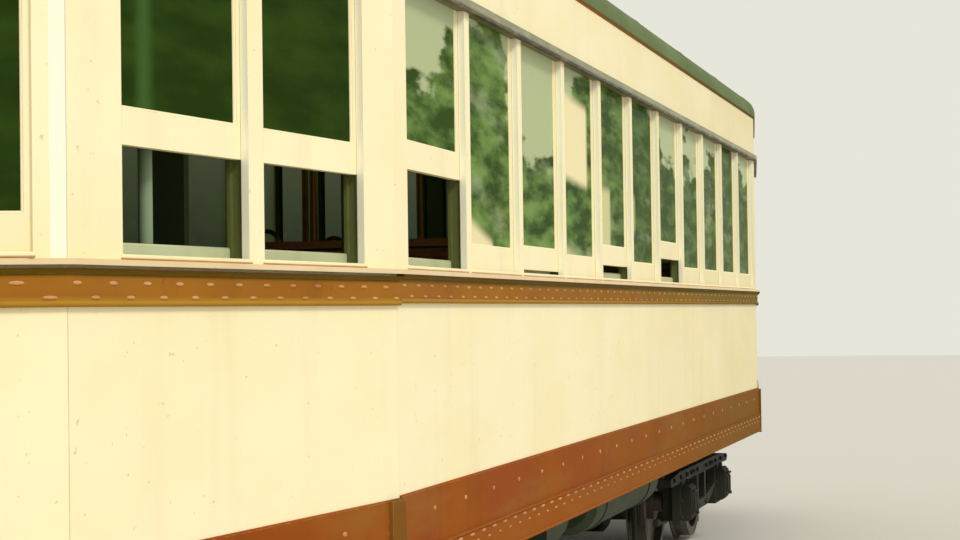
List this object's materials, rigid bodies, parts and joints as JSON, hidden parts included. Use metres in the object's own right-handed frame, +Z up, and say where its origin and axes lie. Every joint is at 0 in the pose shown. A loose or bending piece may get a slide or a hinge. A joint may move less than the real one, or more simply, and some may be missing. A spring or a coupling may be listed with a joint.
{
  "type": "electric tram",
  "caption": "Single-ended electric tram on two swivelling four-wheel trucks, with tapered platforms, folding doors and a trolley pole",
  "frame": {"origin": "on the car's centre, level with the underside of the wheel flanges", "axes": "+X forward along the car, +Y the car's left side, +Z up"},
  "size_m": [13.3714, 2.596, 3.855],
  "materials": {
    "cream_paint": "old gloss enamel, cream",
    "rail_paint": "red-brown enamel",
    "sill_paint": "red-brown enamel",
    "roof_paint": "grey-green canvas paint",
    "truck_black": "black paint over castings, dusty",
    "wheel_steel": "rolled steel, treads polished by the rail",
    "glass": "plate glass",
    "floor_wood": "worn boards",
    "bench_wood": "varnished slats",
    "interior_green": "dark green lining",
    "brass": "handled brass",
    "grey_gear": "grey-green paint, dusty",
    "frame_black": "black paint",
    "deck_wood": "weathered planks",
    "bare_steel": "worn steel",
    "lens": "lamp lens"
  },
  "bodies": {
    "car_body": {"belt_rails": "rail_paint", "body_bolsters": "frame_black", "bulkheads": "interior_green", "bumpers": "sill_paint", "cab_gear": "frame_black", "couplers": "frame_black", "end_walls": "cream_paint", "floor": "floor_wood", "floor_gear": "grey_gear", "grab_poles": "brass", "lamp_lenses": "lens", "lamps": "frame_black", "lifeguard": "frame_black", "platform_walls": "cream_paint", "pole_rest": "bare_steel", "roof": "roof_paint", "roof_hoods": "roof_paint", "sashes": "cream_paint", "seat_benches": "bench_wood", "seat_frames": "frame_black", "side_wall_left": "cream_paint", "side_wall_right": "cream_paint", "sign_box": "cream_paint", "sill_plates": "sill_paint", "steps": "frame_black", "trolley_boards": "deck_wood", "underframe": "frame_black", "ventilators": "roof_paint", "window_glass": "glass", "window_mouldings": "cream_paint"},
    "front_truck": {"side_frames_front": "truck_black", "cross_members_front": "truck_black", "axle_boxes_front": "truck_black", "bolster_front": "truck_black", "motors_front": "truck_black"},
    "front_leading_wheels": {"wheelset_front_leading": "wheel_steel"},
    "front_trailing_wheels": {"wheelset_front_trailing": "wheel_steel"},
    "rear_truck": {"side_frames_rear": "truck_black", "cross_members_rear": "truck_black", "axle_boxes_rear": "truck_black", "bolster_rear": "truck_black", "motors_rear": "truck_black"},
    "rear_leading_wheels": {"wheelset_rear_leading": "wheel_steel"},
    "rear_trailing_wheels": {"wheelset_rear_trailing": "wheel_steel"},
    "front_door_a": {"door_front_a": "cream_paint", "door_front_a_glass": "glass"},
    "front_door_b": {"door_front_b": "cream_paint", "door_front_b_glass": "glass"},
    "rear_door_a": {"door_rear_a": "cream_paint", "door_rear_a_glass": "glass"},
    "rear_door_b": {"door_rear_b": "cream_paint", "door_rear_b_glass": "glass"},
    "trolley_turntable": {"trolley_base": "bare_steel"},
    "trolley_arm": {"trolley_pole": "bare_steel"},
    "trolley_runner": {"trolley_wheel": "brass"}
  },
  "joints": [
    {"name": "front_truck_swivel", "type": "hinge", "parent": "car_body", "child": "front_truck", "pos_m": [3.4, 0, 0.72], "axis": [0, 0, 1], "range_deg": [-12, 12]},
    {"name": "front_leading_wheels_spin", "type": "hinge", "parent": "front_truck", "child": "front_leading_wheels", "pos_m": [4.1365, 0, 0.406], "axis": [0, 1, 0], "continuous": true},
    {"name": "front_trailing_wheels_spin", "type": "hinge", "parent": "front_truck", "child": "front_trailing_wheels", "pos_m": [2.6635, 0, 0.406], "axis": [0, 1, 0], "continuous": true},
    {"name": "rear_truck_swivel", "type": "hinge", "parent": "car_body", "child": "rear_truck", "pos_m": [-3.4, 0, 0.72], "axis": [0, 0, 1], "range_deg": [-12, 12]},
    {"name": "rear_leading_wheels_spin", "type": "hinge", "parent": "rear_truck", "child": "rear_leading_wheels", "pos_m": [-2.6635, 0, 0.406], "axis": [0, 1, 0], "continuous": true},
    {"name": "rear_trailing_wheels_spin", "type": "hinge", "parent": "rear_truck", "child": "rear_trailing_wheels", "pos_m": [-4.1365, 0, 0.406], "axis": [0, 1, 0], "continuous": true},
    {"name": "front_door_fold", "type": "hinge", "parent": "car_body", "child": "front_door_a", "pos_m": [5.08651, -1.11232, 0.722], "axis": [0, 0, 1], "range_deg": [0, 85]},
    {"name": "front_door_hinge", "type": "hinge", "parent": "front_door_a", "child": "front_door_b", "pos_m": [5.49066, -1.10178, 0.722], "axis": [0, 0, 1], "range_deg": [-170, 0]},
    {"name": "rear_door_fold", "type": "hinge", "parent": "car_body", "child": "rear_door_a", "pos_m": [-5.87948, -1.00652, 0.722], "axis": [0, 0, 1], "range_deg": [0, 85]},
    {"name": "rear_door_hinge", "type": "hinge", "parent": "rear_door_a", "child": "rear_door_b", "pos_m": [-5.4867, -1.10231, 0.722], "axis": [0, 0, 1], "range_deg": [-170, 0]},
    {"name": "trolley_swivel", "type": "hinge", "parent": "car_body", "child": "trolley_turntable", "pos_m": [-0.3, 0, 3.555], "axis": [0, 0, 1], "continuous": true},
    {"name": "trolley_lift", "type": "hinge", "parent": "trolley_turntable", "child": "trolley_arm", "pos_m": [-0.3, 0, 3.78], "axis": [0, 1, 0], "range_deg": [0, 50]},
    {"name": "trolley_wheel_spin", "type": "hinge", "parent": "trolley_arm", "child": "trolley_runner", "pos_m": [-4.9075, 0, 3.78], "axis": [0, 1, 0], "continuous": true}
  ],
  "couplings": [
    {"joint": "front_door_hinge", "follows": "front_door_fold", "ratio": -2},
    {"joint": "rear_door_hinge", "follows": "rear_door_fold", "ratio": -2}
  ]
}
